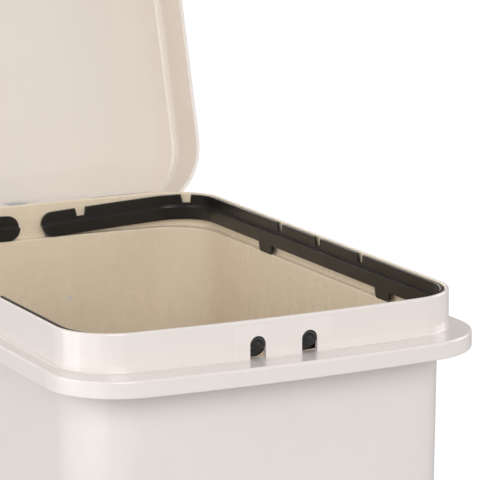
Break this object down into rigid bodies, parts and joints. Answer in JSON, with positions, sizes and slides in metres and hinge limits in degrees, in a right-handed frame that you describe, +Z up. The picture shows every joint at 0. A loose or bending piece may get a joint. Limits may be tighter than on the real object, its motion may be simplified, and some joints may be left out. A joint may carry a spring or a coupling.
{
  "type": "pedal trash can",
  "caption": "Tall rectangular pedal bin with a rear-hinged lid, raised collar, swing-up bag frames, pedal lever and push rod, and rear tilt wheels.",
  "frame": {"origin": "on the floor under the middle of the collar, in the plane of the base's foot rim", "axes": "+Z up, -Y towards the pedal (front), +Y towards the lid hinge, +X to the right seen from the front"},
  "size_m": [0.329, 0.6897, 1.1079],
  "materials": {
    "body_plastic": "smooth glossy cream polypropylene",
    "lid_plastic": "smooth glossy cream polypropylene",
    "frame_plastic": "satin black plastic",
    "base_plastic": "fine-textured black plastic",
    "rubber": "matt black rubber",
    "steel": "zinc-plated steel",
    "tyre": "matt black tyre"
  },
  "bodies": {
    "body": {"body_shell": "body_plastic", "base_plinth": "base_plastic", "base_feet": "rubber", "base_screws": "steel", "rear_cover": "body_plastic", "rear_cover_screws": "body_plastic", "rod_guides": "base_plastic", "hinge_block": "body_plastic", "hinge_block_screws": "steel", "hinge_rod": "steel", "hinge_rod_caps": "base_plastic", "lid_stops": "rubber", "lever_axle": "steel", "lever_axle_clips": "steel", "wheel_axles": "steel", "wheel_caps": "base_plastic"},
    "lid": {"lid_shell": "lid_plastic", "lid_buffers": "rubber", "lid_crank": "steel", "lid_crank_screws": "steel", "crank_pin": "steel"},
    "frame_left": {"bag_frame_left": "frame_plastic"},
    "frame_right": {"bag_frame_right": "frame_plastic"},
    "pedal": {"pedal_lever": "steel", "pedal_shoe": "base_plastic", "pedal_tread": "rubber", "pedal_screws": "steel", "lever_pin": "steel"},
    "rod": {"push_rod": "steel", "rod_head": "base_plastic", "rod_foot": "base_plastic"},
    "wheel_l": {"wheel_left": "base_plastic", "tyre_left": "tyre"},
    "wheel_r": {"wheel_right": "base_plastic", "tyre_right": "tyre"}
  },
  "joints": [
    {"name": "lid_hinge", "type": "hinge", "parent": "body", "child": "lid", "pos_m": [0, 0.245, 0.624], "axis": [-1, 0, 0], "range_deg": [-105, 0]},
    {"name": "frame_left_swing", "type": "hinge", "parent": "body", "child": "frame_left", "pos_m": [-0.02, 0, 0.6224], "axis": [0, 1, 0], "range_deg": [0, 84]},
    {"name": "frame_right_swing", "type": "hinge", "parent": "body", "child": "frame_right", "pos_m": [0.02, 0, 0.6224], "axis": [0, -1, 0], "range_deg": [0, 84]},
    {"name": "pedal_press", "type": "hinge", "parent": "body", "child": "pedal", "pos_m": [0, 0.06, 0.03], "axis": [1, 0, 0], "range_deg": [-5.17, 0.02]},
    {"name": "rod_lift", "type": "slide", "parent": "body", "child": "rod", "axis": [0, 0, 1], "range_m": [-0.01592, 0.00005]},
    {"name": "wheel_left_spin", "type": "hinge", "parent": "body", "child": "wheel_l", "pos_m": [-0.111, 0.1987, 0.026], "axis": [1, 0, 0], "continuous": true},
    {"name": "wheel_right_spin", "type": "hinge", "parent": "body", "child": "wheel_r", "pos_m": [0.111, 0.1987, 0.026], "axis": [1, 0, 0], "continuous": true}
  ],
  "couplings": [
    {"joint": "pedal_press", "follows": "lid_hinge", "ratio": 0.049072},
    {"joint": "rod_lift", "follows": "lid_hinge", "m_per_rad": 0.0086582}
  ]
}
